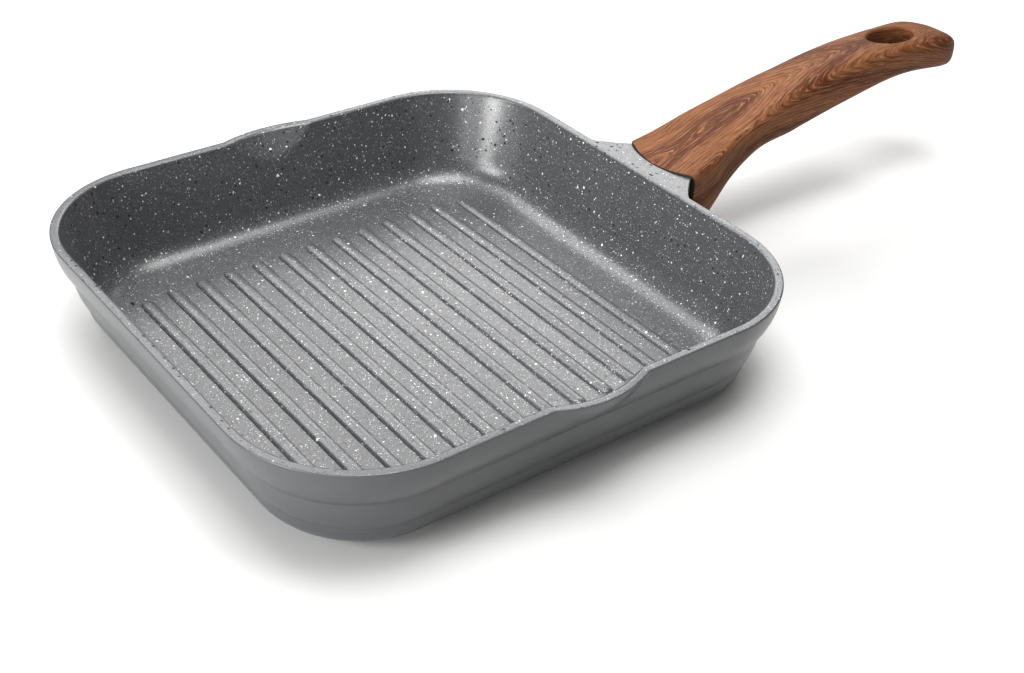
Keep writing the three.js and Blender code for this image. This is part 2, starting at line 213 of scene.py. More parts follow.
def ring_band(rows):
    """Quads between successive rows of point numbers, each row a closed ring."""
    ahead = np.roll(rows, -1, axis=1)
    return np.stack([rows[:-1], ahead[:-1], ahead[1:], rows[1:]], axis=-1).reshape(-1, 4)


def open_sheet(rows):
    """Quads of an open grid of point numbers."""
    return np.stack([rows[:-1, :-1], rows[:-1, 1:], rows[1:, 1:], rows[1:, :-1]], axis=-1).reshape(-1, 4)


def fan(ring, tip):
    """Triangles from a closed ring of point numbers to one point, or from many rings to a point each."""
    return triples(ring, np.roll(ring, -1, axis=-1), np.asarray(tip)[..., None]).reshape(-1, 3)


def caps(rows, first_tip):
    """Triangles that close the first and the last ring of a tube, each to a tip of its own."""
    return np.concatenate([fan(rows[0, ::-1], first_tip), fan(rows[-1], first_tip + 1)])


def zip_rings(outer, outer_turn, inner, inner_turn):
    """Triangles between two closed rings of different counts.

    Both run the same way round. Each step goes on to the next point of whichever ring has the
    smaller turn, and makes a triangle with the current point of the other ring.
    """
    turns = np.concatenate([np.append(outer_turn[1:], outer_turn[0] + FULL_TURN),
                            np.append(inner_turn[1:], inner_turn[0] + FULL_TURN)])
    order = np.argsort(turns, kind="stable")
    on_outer = order < len(outer)
    steps_outer = np.cumsum(on_outer) - on_outer
    steps_inner = np.cumsum(~on_outer) - ~on_outer
    at_outer, at_inner = outer[steps_outer % len(outer)], inner[steps_inner % len(inner)]
    next_outer = outer[(steps_outer + 1) % len(outer)]
    next_inner = inner[(steps_inner + 1) % len(inner)]
    return triples(at_outer, np.where(on_outer, next_outer, next_inner), at_inner)


def make_piece(name, points, faces, finishes, sharp_angle=None):
    """Object of a mesh made from whole arrays: points in metres, and groups of quads or triangles.

    Each group comes with its finish's number, or with a number for each of its faces. Edges that turn
    by more than the sharp angle, in degrees, stay crisp.
    """
    mesh = bpy.data.meshes.new(name)
    sides = np.concatenate([np.full(len(group), group.shape[1]) for group, number in faces])
    corners = np.concatenate([group.ravel() for group, number in faces])
    finish_of_face = np.concatenate([np.broadcast_to(number, len(group)) for group, number in faces])
    mesh.vertices.add(len(points))
    mesh.vertices.foreach_set("co", np.ascontiguousarray(points, dtype=np.float32).ravel())
    mesh.loops.add(len(corners))
    mesh.loops.foreach_set("vertex_index", corners.astype(np.int32))
    mesh.polygons.add(len(sides))
    mesh.polygons.foreach_set("loop_start", (np.cumsum(sides) - sides).astype(np.int32))
    for finish in finishes:
        mesh.materials.append(finish)
    mesh.polygons.foreach_set("material_index", finish_of_face.astype(np.int32))
    mesh.update(calc_edges=True)
    mesh.shade_smooth()
    if sharp_angle is not None:
        mesh.set_sharp_from_angle(angle=math.radians(sharp_angle))
    piece = bpy.data.objects.new(name, mesh)
    bpy.context.scene.collection.objects.link(piece)
    return piece


def settle(piece, slot, *nodes):
    """The piece rides on the pan and stands for solids where it has any; its slot is not used."""
    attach(piece, BODY)
    if nodes:
        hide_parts(*nodes)


def smooth_step(value):
    """0 below 0, 1 above 1, and an S between."""
    held = np.clip(value, 0.0, 1.0)
    return held * held * (3 - 2 * held)


def eased_positive(value, width):
    """The value's positive part, its corner replaced by a parabola of the given half width."""
    near = (value + width) ** 2 / (4 * width)
    return np.where(value <= -width, 0.0, np.where(value >= width, value, near))


def smooth_curve(at, places, values):
    """Cubic through the values: its slope at each place is the weighted mean of its neighbours'."""
    gap = np.diff(places)
    rise = np.diff(values) / gap
    inner = (rise[:-1] * gap[1:] + rise[1:] * gap[:-1]) / (gap[:-1] + gap[1:])
    slope = np.concatenate([[rise[0]], inner, [rise[-1]]])
    k = np.clip(np.searchsorted(places, at, side="right") - 1, 0, len(gap) - 1)
    t = (at - places[k]) / gap[k]
    start = (1 + 2 * t) * (1 - t) ** 2 * values[k] + t * (1 - t) ** 2 * gap[k] * slope[k]
    return start + t * t * (3 - 2 * t) * values[k + 1] + t * t * (t - 1) * gap[k] * slope[k + 1]


# Cast body


def wall_path(sizes):
    """Plan of the wall as core points and outward normals.

    A point of the wall at an inset is core + normal * (corner radius - inset). Along a side the core
    runs between two corner centres and the normal stands still. Round a corner the core stands still
    and the normal turns.
    """
    centre = sizes.half - sizes.corner
    corner_steps, plain_steps, spout_step, lug_step = 36, 32, 0.5 * MM, 1.0 * MM
    spout_run, lug_run = 0.6 * sizes.spout_width, sizes.lug_flare + 2 * MM
    snap, corner_gap = 0.1, 0.3 * MM
    plain = np.linspace(-centre, centre, plain_steps + 1)
    spout = np.concatenate([plain, np.arange(-spout_run, spout_run, spout_step)])
    near_neck = np.array([-0.8, -0.45, -0.2, 0.0, 0.2, 0.45, 0.8]) * MM
    lug = np.concatenate([plain, np.arange(-lug_run, lug_run, lug_step),
                          near_neck + sizes.lug_neck, near_neck - sizes.lug_neck])
    cores, normals = [], []
    for quarter, places in enumerate([lug, spout, plain, spout]):
        along = np.unique(np.round(places / (snap * MM))) * snap * MM
        along = along[np.abs(along) < centre - corner_gap]
        turn = quarter * QUARTER_TURN + np.linspace(0, QUARTER_TURN, corner_steps + 1)
        cosine, sine = np.round(np.cos(turn[0])), np.round(np.sin(turn[0]))
        normal, tangent = np.array([cosine, sine]), np.array([-sine, cosine])
        cores += [centre * normal + along[:, None] * tangent,
                  np.broadcast_to(centre * (normal + tangent), (len(turn), 2))]
        normals += [np.broadcast_to(normal, (len(along), 2)),
                    np.stack([np.cos(turn), np.sin(turn)], axis=-1)]
    return np.concatenate(cores), np.concatenate(normals)


def band_insets(z, low, high):
    """Inset of one swelling band from its high (inset, z) down to its low one.

    It leaves the upper end with a slight lean, and turns in by a power of the way down, so that it
    swells and then rolls under to the crease.
    """
    lean, roll = 0.08, 2.6
    deep = high[1] - low[1]
    down = (high[1] - z) / deep
    return high[0] + lean * deep * down + (low[0] - high[0] - lean * deep) * down ** roll


def end_heavy(count):
    """Shares after 0 up to 1, closer together near both ends."""
    return (1 - np.cos(steps_to(0, np.pi, count))) / 2


def body_profile(sizes):
    """The wall's section as rows of inset, height, lug share, and whether the row is outside.

    It runs from the edge of the flat floor up the inner wall, over the rim, down the three outer
    bands and under the foot to the base. The lug share is how much of the lug's reach the row takes.
    """
    top, floor = sizes.height, sizes.floor
    inner_round, outer_round, under_run = 1.4 * MM, 0.6 * MM, 1.6 * MM
    fillet_rows, low_wall_rows, high_wall_rows, round_rows, rim_rows, foot_rows = 14, 7, 14, 5, 6, 7
    lug_side_rows, lug_under_rows, below_lug_rows, band_2_rows, band_3_rows = 7, 12, 8, 14, 12

    def lean_inset(z):
        return sizes.rim + (sizes.wall_foot - sizes.rim) * (top - z) / (top - floor)

    # The fillet and the foot's turn are quadratic curves through a corner
    ease = np.linspace(0, 1, fillet_rows + 1)
    fillet_top, upper_wall = floor + sizes.fillet, top - 14 * MM
    fillet_inset = ((1 - ease) ** 2 * (sizes.wall_foot + sizes.fillet)
                    + 2 * ease * (1 - ease) * sizes.wall_foot + ease ** 2 * lean_inset(fillet_top))
    fillet_z = floor + ease ** 2 * sizes.fillet
    wall_z = np.concatenate([steps_to(fillet_top, upper_wall, low_wall_rows),
                             steps_to(upper_wall, top - inner_round, high_wall_rows)])
    turn = steps_to(0, QUARTER_TURN, round_rows)
    inner_edge = lean_inset(top - inner_round) - inner_round * (1 - np.cos(turn))
    inner_edge_z = top - inner_round * (1 - np.sin(turn))
    flat = steps_to(0, 1, rim_rows)
    rim_inset = inner_edge[-1] + (outer_round - inner_edge[-1]) * flat
    outer_edge = outer_round * (1 - np.sin(turn))
    outer_edge_z = top - outer_round * (1 - np.cos(turn))
    lug_under = top - sizes.lug_depth
    lug_edge, lug_foot = lug_under + under_run / 4, lug_under - 3 * under_run / 4
    rim_point = (0.0, outer_edge_z[-1])
    crease_1 = (sizes.upper_inset, top - sizes.upper_drop)
    crease_2 = (sizes.lower_inset, top - sizes.lower_drop)
    foot = (sizes.foot_inset, sizes.foot_lift)
    band_1_z = np.concatenate([
        steps_to(rim_point[1], lug_edge, lug_side_rows), steps_to(lug_edge, lug_foot, lug_under_rows),
        lug_foot + (crease_1[1] - lug_foot) * np.sin(steps_to(0, QUARTER_TURN, below_lug_rows))])
    band_2_z = crease_1[1] + (crease_2[1] - crease_1[1]) * end_heavy(band_2_rows)
    band_3_z = crease_2[1] + (foot[1] - crease_2[1]) * end_heavy(band_3_rows)
    under = steps_to(0, 1, foot_rows)
    under_inset = ((1 - under) ** 2 * foot[0] + 2 * under * (1 - under) * (foot[0] + foot[1])
                   + under ** 2 * sizes.base_inset)
    inset = np.concatenate([
        fillet_inset, lean_inset(wall_z), inner_edge, rim_inset, outer_edge,
        band_insets(band_1_z, crease_1, rim_point), band_insets(band_2_z, crease_2, crease_1),
        band_insets(band_3_z, foot, crease_2), under_inset])
    z = np.concatenate([fillet_z, wall_z, inner_edge_z, np.full_like(flat, top), outer_edge_z,
                        band_1_z, band_2_z, band_3_z, (1 - under) ** 2 * foot[1]])
    rim_first = len(fillet_z) + len(wall_z) + len(turn)
    edge_first = rim_first + len(flat)
    lug_share = np.zeros_like(z)
    lug_share[rim_first:edge_first] = flat
    lug_share[edge_first:] = smooth_step((z[edge_first:] - lug_foot) / under_run)
    return inset, z, lug_share, np.arange(len(z)) > edge_first


def lug_reach(y, sizes, handle):
    """How far the lug stands out from the rim at a place across it.

    Inside the neck its edge is a hollow arc round the handle's end. Outside the neck it runs back to
    the rim as a slightly hollow flare: a power of the share of the way left.
    """
    hollow = 1.25
    across = np.abs(y)
    radius = handle.joint_radius + handle.joint_gap
    centre = handle.start + handle.joint_radius
    arc = centre - np.sqrt(radius ** 2 - np.minimum(across, sizes.lug_neck) ** 2) - sizes.half
    neck = centre - math.sqrt(radius ** 2 - sizes.lug_neck ** 2) - sizes.half
    left = np.clip((sizes.lug_flare - across) / (sizes.lug_flare - sizes.lug_neck), 0, 1)
    return np.where(across <= sizes.lug_neck, arc, neck * left ** hollow)


def spout_swell(x, drop, depth, sizes):
    """Share of a spout's swell: 1 at the rim's middle, less with distance squared and with depth."""
    ease = 0.08
    return eased_positive(1 - (2 * x / sizes.spout_width) ** 2 - np.maximum(drop, 0) / depth, ease)


def body_rings(sizes, handle):
    """Points of the wall: the profile carried round the plan, with the spouts and the lug added."""
    spout_depth_outside, spout_depth_inside = 15.5 * MM, 11.5 * MM
    square_on, lug_blend, lug_draft = 0.999, 4 * MM, 0.02
    core, normal = wall_path(sizes)
    inset, z, lug_share, outside = body_profile(sizes)
    inset, height, lug = inset[:, None], z[:, None], lug_share[:, None]
    on_y_side = np.abs(normal[:, 1]) > square_on
    on_lug_side = (normal[:, 0] > square_on) & (np.abs(core[:, 1]) < sizes.lug_flare)
    depth = np.where(outside, spout_depth_outside, spout_depth_inside)[:, None]
    swell = spout_swell(core[:, 0], sizes.height - height, depth, sizes) * on_y_side
    reach = np.where(on_lug_side, lug_reach(core[:, 1], sizes, handle), 0.0)
    upright = lug * outside[:, None] * smooth_step(reach / lug_blend)
    shown_inset = inset * (1 - upright) + lug_draft * (sizes.height - height) * upright
    outward = sizes.corner - shown_inset + sizes.spout_bulge * swell + lug * reach
    plan = core[None] + normal[None] * outward[..., None]
    return triples(plan[..., 0], plan[..., 1], height - sizes.spout_dip * swell), outside


def rib_heights(x, y, sizes):
    """Height of the ribs above the floor.

    Each rib is a long oval: its height depends only on the distance from its middle line. The section
    is half an ellipse, the root of 1 - (distance / half width) squared, with upright feet.
    """
    across, last = x - sizes.rib_shift, sizes.rib_count // 2
    number = np.clip(np.round(across / sizes.rib_pitch), -last, last)
    rib_length = np.where(np.abs(number) == last, sizes.side_rib_length, sizes.rib_length)
    past_end = np.maximum(np.abs(y) - (rib_length - sizes.rib_width) / 2, 0)
    distance = np.hypot(across - number * sizes.rib_pitch, past_end)
    return sizes.rib_height * np.sqrt(np.clip(1 - (distance / (sizes.rib_width / 2)) ** 2, 0, 1))


def rib_columns(sizes):
    """Places across the floor: close together at each rib's feet, sparse between the ribs."""
    half, margin = sizes.rib_width / 2, 2 * MM
    flank = half * np.array([0.18, 0.36, 0.53, 0.68, 0.8, 0.89, 0.95, 0.98, 0.995, 1.0, 1.05])
    one = np.concatenate([[0.0], flank, -flank])
    middles = sizes.rib_shift + (np.arange(sizes.rib_count) - sizes.rib_count // 2) * sizes.rib_pitch
    edge = half + margin
    sides = [middles[0] - edge, middles[-1] + edge]
    return np.unique(np.concatenate([(middles[:, None] + one).ravel(), sides]))


def rib_rows(sizes):
    """Places along the floor: close together round the ribs' ends, sparse along their length."""
    before_end, past_end, end_step, middle_rows = 0.5 * MM, 0.7 * MM, 0.35 * MM, 14
    near = sizes.side_rib_length / 2 - sizes.rib_width / 2 - before_end
    end = np.arange(near, sizes.rib_length / 2 + past_end, end_step)
    middle = np.linspace(-near, near, middle_rows)[1:-1]
    return np.unique(np.concatenate([end, -end, middle]))


def squarish(value, power):
    """Sine or cosine of a squarish oval: the value's size to the power 2 / n, with its sign kept."""
    return np.sign(value) * np.abs(value) ** (2 / power)


def tongue_bar(sizes):
    """Rounded bar from the lug into the handle, as rings of a squarish oval, with its two tips."""
    buried, edge, edge_share, squareness, around = 3 * MM, 0.8 * MM, 0.8, 7, 48
    start, end = sizes.half + buried, body_high.x
    turn = full_turn(around)
    grow = np.array([edge_share, 1.0, 1.0, edge_share])[:, None]
    along = np.array([start, start + edge, end - edge, end])[:, None]
    y = sizes.tongue_width / 2 * squarish(np.cos(turn), squareness)
    z = sizes.tongue_depth / 2 * squarish(np.sin(turn), squareness)
    middle_z = sizes.height - sizes.tongue_top - sizes.tongue_depth / 2
    tips = np.array([[start, 0, middle_z], [end, 0, middle_z]])
    return triples(along, grow * y, middle_z + grow * z), tips


def plan_turn(points):
    """Angle of each point round the pan's middle."""
    return np.arctan2(points[:, 1], points[:, 0])


class GRILLPAN_OT_body(bpy.types.Operator):
    """Cast body: wall, rim, spouts, ribs, lug and tongue"""

    bl_idname = "grillpan.body"
    bl_label = "Cast body"

    def execute(self, context):
        sizes, handle = context.scene.grillpan_body, context.scene.grillpan_handle
        rings, outside = body_rings(sizes, handle)
        count = rings.shape[1]

        # Seat of the disc: a step up from the base, and a ring half way in
        seat, seat_top = disc_high.x + SIDE_GAP, disc_high.z + END_GAP
        turn = plan_turn(rings[-1])
        seat_x, seat_y = seat * np.cos(turn), seat * np.sin(turn)
        seat_rings = [triples(seat_x, seat_y, 0.0), triples(seat_x, seat_y, seat_top),
                      triples(seat_x / 2, seat_y / 2, seat_top)]
        shell = np.concatenate([rings, seat_rings])
        x, y = np.meshgrid(rib_columns(sizes), rib_rows(sizes), indexing="ij")
        floor = triples(x, y, sizes.floor + rib_heights(x, y, sizes))
        tongue, tips = tongue_bar(sizes)
        points = np.concatenate([shell.reshape(-1, 3), [[0, 0, seat_top]], floor.reshape(-1, 3),
                                 tongue.reshape(-1, 3), tips])
        shell_rows = numbers(shell)
        middle = shell_rows.size
        floor_rows = numbers(floor, middle + 1)
        tongue_rows = numbers(tongue, floor_rows.max() + 1)
        first_tip = tongue_rows.max() + 1

        # The ribbed floor's edge is zipped to the wall's foot, from the wall point nearest its start
        edge = np.concatenate([floor_rows[-1, :-1], floor_rows[::-1, -1][:-1],
                               floor_rows[0, ::-1][:-1], floor_rows[:, 0][:-1]])
        inner_turn = np.unwrap(plan_turn(points[edge]))
        apart = np.abs(np.angle(np.exp(1j * (plan_turn(rings[0]) - inner_turn[0]))))
        outer = np.roll(shell_rows[0], -np.argmin(apart))
        outer_turn = np.unwrap(plan_turn(points[outer]))
        outer_turn += FULL_TURN * np.round((inner_turn[0] - outer_turn[0]) / FULL_TURN)

        coat, paint = 0, 1
        row_outside = np.concatenate([outside, [True, True]])
        faces = [
            (ring_band(shell_rows)[:, ::-1], np.repeat(np.where(row_outside, paint, coat), count)),
            (open_sheet(floor_rows)[:, ::-1], coat), (ring_band(tongue_rows), paint),
            (zip_rings(outer, outer_turn, edge, inner_turn), coat),
            (fan(shell_rows[-1, ::-1], middle), paint), (caps(tongue_rows, first_tip), paint)]
        looks = context.scene.grillpan_finishes
        finishes = [stone_coat(looks), satin_paint(looks)]
        piece = make_piece("pan_body_cast", points, faces, finishes)
        settle(piece, "coating", "pan_body")
        return {"FINISHED"}


# Moulded handle


def handle_lines(at, handle):
    """Top and bottom heights above the rim and half width along the handle, before the tail's round.

    Each is a smooth curve through stations: shares of the length, of the crown's rise and of the grip.
    """
    place = handle.length * np.array([0, 0.09, 0.17, 0.25, 0.39, 0.57, 0.77, 0.88, 1])
    top = handle.rise * np.array([0.01, 0.168, 0.379, 0.536, 0.782, 0.971, 0.985, 0.946, 0.7])
    bottom = handle.rise * np.array([-1.179, -0.939, -0.461, -0.157, -0.061, 0.143, 0.34, 0.275, 0.135])
    half = handle.grip / 2 * np.array([1.55, 1.444, 1.254, 1.141, 1.049, 1, 1.049, 1.077, 1.1])
    return [smooth_curve(at, place, values) for values in (top, bottom, half)]


def tail_share(at, run, handle):
    """Round of the tail: 1 up to its start, then a quarter of an ellipse down to the tip."""
    past = np.clip((at - (handle.length - run)) / run, 0, 1)
    return np.sqrt(1 - past ** 2)


def handle_section(at, handle):
    """Middle height, half height, half width and squareness above and below, along the handle."""
    top, bottom, half = handle_lines(at, handle)
    tall = (top - bottom) / 2 * tail_share(at, handle.tail_edge, handle)
    wide = half * tail_share(at, handle.tail_round, handle)
    root_marks = np.array([0, 0.022, 0.045, 0.082])
    above = np.interp(at, root_marks, [14, 10, 7, 4])
    below = np.interp(at, root_marks, [6.5, 4.8, 3.8, 2.8])
    return (top + bottom) / 2, tall, wide, above, below


def squarish_turn(turn, power):
    """Point of a unit squarish oval in a direction: (cos, sin) over the n-norm of both."""
    size = (np.abs(np.cos(turn)) ** power + np.abs(np.sin(turn)) ** power) ** (1 / power)
    return np.cos(turn) / size, np.sin(turn) / size


def joint_face(y, handle):
    """How far the end that meets the lug falls back from its foremost line, a round arc in plan."""
    widest = 0.03
    return handle.joint_radius - np.sqrt(handle.joint_radius ** 2 - np.minimum(np.abs(y), widest) ** 2)


def handle_surface(at, turn, handle, rim_z):
    """Points of the handle at places along it and directions round it.

    Near the joint each ring bends back with the end's arc, and the bend dies out along the root. The
    bend depends on the width where it lands, so it is settled in a few rounds.
    """
    root, rounds = 0.045, 3
    fade = smooth_step(1 - at / root)
    shifted = np.broadcast_to(at, np.broadcast_shapes(at.shape, turn.shape))
    for _ in range(rounds):
        middle, tall, wide, above, below = handle_section(shifted, handle)
        across, up = squarish_turn(turn, np.where(np.sin(turn) >= 0, above, below))
        shifted = at + fade * joint_face(wide * across, handle)
    return triples(handle.start + shifted, wide * across, rim_z + middle + tall * up)


def handle_height(x, y, side, handle, rim_z):
    """Height of the handle's top (side 1) or underside (side -1) over a point of its plan."""
    middle, tall, wide, above, below = handle_section(x - handle.start, handle)
    power = above if side > 0 else below
    inside = np.clip(1 - (np.abs(y) / wide) ** power, 0, 1)
    return rim_z + middle + side * tall * inside ** (1 / power)


def window(rows, first_row, last_row, middle_column, reach):
    """Point numbers round a rectangle of cells of a ring grid, and the mask of the cells outside it."""
    columns = np.arange(middle_column - reach, middle_column + reach + 1) % rows.shape[1]
    lines = np.arange(first_row, last_row + 1)
    edge = np.concatenate([rows[first_row, columns[:-1]], rows[lines[:-1], columns[-1]],
                           rows[last_row, columns[:0:-1]], rows[lines[:0:-1], columns[0]]])
    keep = np.ones((rows.shape[0] - 1, rows.shape[1]), bool)
    keep[first_row:last_row, columns[:-1]] = False
    return edge, keep


def oval_turn(edge, oval):
    """Angle of each point of a window's edge on an oval, given as middle, half length and half width."""
    middle_x, half_x, half_y = oval
    return np.arctan2(edge[:, 1] / half_y, (edge[:, 0] - middle_x) / half_x)


def mouth_rings(edge, turn, oval, flare, side, inner_z, handle, rim_z):
    """Rings from a window's edge over the handle's face to an oval mouth, round its lip and inwards.

    On the face a ring point lies between the window's edge and the lip, seen from above, at the
    face's own height. The lip is a quarter round of the flare's size. The last ring is at inner_z.
    """
    middle_x, half_x, half_y = oval

    def ring(plan_x, plan_y, sunk):
        return triples(plan_x, plan_y, handle_height(plan_x, plan_y, side, handle, rim_z) - side * sunk)

    def outline(grow):
        return middle_x + (half_x + grow) * np.cos(turn), (half_y + grow) * np.sin(turn)

    lip_x, lip_y = outline(flare)
    parts = np.arange(1, FACE_RINGS + 1) / (FACE_RINGS + 1)
    face = [ring(edge[:, 0] * (1 - part) + lip_x * part, edge[:, 1] * (1 - part) + lip_y * part, 0.0)
            for part in parts]
    lip = [ring(*outline(flare * (1 - np.sin(bend))), flare * (1 - np.cos(bend)))
           for bend in np.linspace(0, QUARTER_TURN, LIP_RINGS)]
    return np.stack([*face, *lip, triples(*outline(0.0), inner_z)])


class GRILLPAN_OT_handle(bpy.types.Operator):
    """Moulded handle: root, socket, screw well, grip, hanging hole and tail"""

    bl_idname = "grillpan.handle"
    bl_label = "Moulded handle"

    def execute(self, context):
        handle, body = context.scene.grillpan_handle, context.scene.grillpan_body
        rim_z = body.height
        hole_x = handle.start + handle.length - handle.hole_from_tail
        screw_x = (screw_low.x + screw_high.x) / 2
        well_radius, well_flare = (plain_high.x - plain_low.x) / 2 + SIDE_GAP, 0.5 * MM
        hole_margin, well_margin, edge_round = 5 * MM, 3.5 * MM, 0.25 * MM
        hole_start = hole_x - handle.start - handle.hole_length / 2 - hole_margin
        hole_end = hole_start + handle.hole_length + 2 * hole_margin
        well_start = screw_x - handle.start - well_radius - well_margin
        well_end = well_start + 2 * (well_radius + well_margin)

        # Outer skin: even rings, with one on each end of the windows, and closer ones round the tail.
        # Round each ring the points crowd towards the corners
        around, even_rings, tail_rings, clearance, crowding = 144, 111, 30, 0.6 * MM, 0.13
        tail_start = handle.length - handle.tail_round
        spaced = steps_to(0.0, tail_start, even_rings)
        ends = np.array([hole_start, hole_end, well_start, well_end])
        spaced = spaced[np.abs(spaced[:, None] - ends).min(axis=1) > clearance]
        tail = tail_start + handle.tail_round * np.sin(np.linspace(0, QUARTER_TURN, tail_rings)[1:-1])
        at = np.sort(np.concatenate([[edge_round], spaced, ends, tail]))
        even = full_turn(around)
        turn = even + crowding * np.sin(4 * even)
        outer = handle_surface(at[:, None], turn[None], handle, rim_z)

        # End face: a small round, the arc, and the socket for the tongue
        first = handle_surface(np.zeros((1, 1)), turn[None], handle, rim_z)[0]
        outward = first - np.array([0, 0, (first[:, 2].max() + first[:, 2].min()) / 2])
        outward[:, 0] = 0
        outward /= np.linalg.norm(outward, axis=1)[:, None]
        round_steps, socket_squareness = 4, 8
        rim_rings = []
        for bend in steps_to(0, QUARTER_TURN, round_steps)[::-1]:
            ring = outer[0] - outward * edge_round * (1 - np.cos(bend))
            ring[:, 0] = handle.start + joint_face(ring[:, 1], handle) + edge_round * (1 - np.sin(bend))
            rim_rings.append(ring)
        across, up = squarish_turn(turn, socket_squareness)
        socket_z = rim_z - body.tongue_top - body.tongue_depth / 2
        socket_y = (body.tongue_width / 2 + SIDE_GAP) * across
        socket_up = socket_z + (body.tongue_depth / 2 + SIDE_GAP) * up
        mouth = triples(handle.start + joint_face(socket_y, handle), socket_y, socket_up)
        face_rings = []
        for part in (0.25, 0.5, 0.75):
            ring = mouth * (1 - part) + rim_rings[0] * part
            ring[:, 0] = handle.start + joint_face(ring[:, 1], handle)
            face_rings.append(ring)
        socket_end = body_high.x + SIDE_GAP
        socket = triples(socket_end, socket_y, socket_up)
        rings = np.concatenate([[socket, mouth], face_rings, rim_rings, outer])
        tips = np.array([[socket_end, 0, socket_z],
                         [handle.start + handle.length, 0, outer[-1, :, 2].mean()]])
        rows = numbers(rings)
        first_tip = rows.size

        # Windows in the skin for the hanging hole's two mouths and the screw's well
        quarter, hole_columns, well_columns = around // 4, 19, 20
        front = len(rings) - len(outer)
        hole_first, hole_last, well_first, well_last = (
            front + int(np.argmin(np.abs(at - place))) for place in ends)
        top_edge, keep_top = window(rows, hole_first, hole_last, quarter, hole_columns)
        low_edge, keep_low = window(rows, hole_first, hole_last, 3 * quarter, hole_columns)
        well_edge, keep_well = window(rows, well_first, well_last, 3 * quarter, well_columns)
        place = rings.reshape(-1, 3)
        hole = (hole_x, handle.hole_length / 2, handle.hole_width / 2)
        well_oval = (screw_x, well_radius, well_radius)
        middle_z = rim_z + handle_section(np.array([hole_x - handle.start]), handle)[0][0]
        ceiling = plain_high.z + END_GAP
        top_turn = oval_turn(place[top_edge], hole)
        mirror = (2 * hole_columns - np.arange(len(top_edge))) % len(top_edge)
        top = mouth_rings(place[top_edge], top_turn, hole, handle.hole_flare, 1, middle_z, handle, rim_z)
        low = mouth_rings(place[low_edge], top_turn[mirror], hole, handle.hole_flare, -1, middle_z,
                          handle, rim_z)[:-1]
        well = mouth_rings(place[well_edge], oval_turn(place[well_edge], well_oval), well_oval, well_flare,
                           -1, ceiling, handle, rim_z)
        top_rows = numbers(top, first_tip + len(tips))
        low_rows = numbers(low, top_rows.max() + 1)
        well_rows = numbers(well, low_rows.max() + 1)
        points = np.concatenate([place, tips, top.reshape(-1, 3), low.reshape(-1, 3), well.reshape(-1, 3),
                                 [[screw_x, 0, ceiling]]])

        # The end face, the socket and the well's inside are bare plastic, the rest carries the print
        film, bare = 0, 1
        socket_bands = len(face_rings) + 2
        kept = (keep_top & keep_low & keep_well).ravel()
        skin_finish = np.repeat(np.where(np.arange(len(rows) - 1) < socket_bands, bare, film), around)
        well_finish = np.repeat(np.where(np.arange(len(well)) < FACE_RINGS, film, bare), well.shape[1])
        faces = [
            (ring_band(rows)[kept], skin_finish[kept]),
            (ring_band(np.vstack([top_edge, top_rows])), film),
            (ring_band(np.vstack([low_edge, low_rows, top_rows[-1][mirror]])), film),
            (ring_band(np.vstack([well_edge, well_rows])), well_finish),
            (caps(rows, first_tip), np.repeat([bare, film], around)),
            (fan(well_rows[-1], len(points) - 1), bare)]
        looks = context.scene.grillpan_finishes
        finishes = [wood_film(looks), bare_phenolic(looks)]
        piece = make_piece("handle_moulded", points, faces, finishes, sharp_angle=50)

        # The print's own place: along the handle, across it, and above its middle line
        along = points[:, 0] - handle.start
        middle_line, *_ = handle_section(along, handle)
        print_place = np.column_stack([along, points[:, 1], points[:, 2] - rim_z - middle_line])
        grain = piece.data.attributes.new("grain", "FLOAT_VECTOR", "POINT")
        grain.data.foreach_set("vector", print_place.astype(np.float32).ravel())
        settle(piece, "wood_effect", "handle")
        return {"FINISHED"}


# Screw, washers and base


def lathe(profile, turn):
    """Points of a profile of (radius, height) turned round the Z axis, one row for each profile point."""
    radius, z = profile[:, :1], profile[:, 1:]
    return triples(radius * np.cos(turn), radius * np.sin(turn), z)


def ring_section(low, high, bore, chamfer):
    """Section of a washer between two corners of its box: (radius, height) round its broken edges."""
    outer, low, high = (high.x - low.x) / 2, low.z, high.z
    return np.array([
        [bore, low + chamfer], [bore + chamfer, low], [outer - chamfer, low], [outer, low + chamfer],
        [outer, high - chamfer], [outer - chamfer, high], [bore + chamfer, high], [bore, high - chamfer]])


